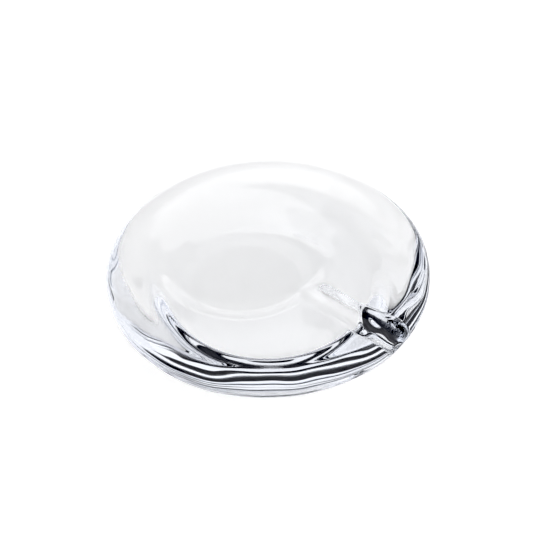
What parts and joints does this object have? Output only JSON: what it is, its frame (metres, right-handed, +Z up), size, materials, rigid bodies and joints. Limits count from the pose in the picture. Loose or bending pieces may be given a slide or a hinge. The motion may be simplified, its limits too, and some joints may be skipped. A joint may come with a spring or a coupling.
{
  "type": "glass dish",
  "caption": "Heavy round dish of clear glass with a rounded edge, a level ledge, a round well off the centre, and a groove from the well out through the edge.",
  "frame": {"origin": "centre of the foot ring, on the surface that the dish stands on", "axes": "+Z up along the dish's axis, +X out along the groove; the well stands off the axis towards -X"},
  "size_m": [0.1495, 0.15, 0.025],
  "materials": {
    "clear_glass": "fire-polished, clear, smooth"
  },
  "bodies": {
    "root": {"dish": "clear_glass"}
  },
  "joints": []
}
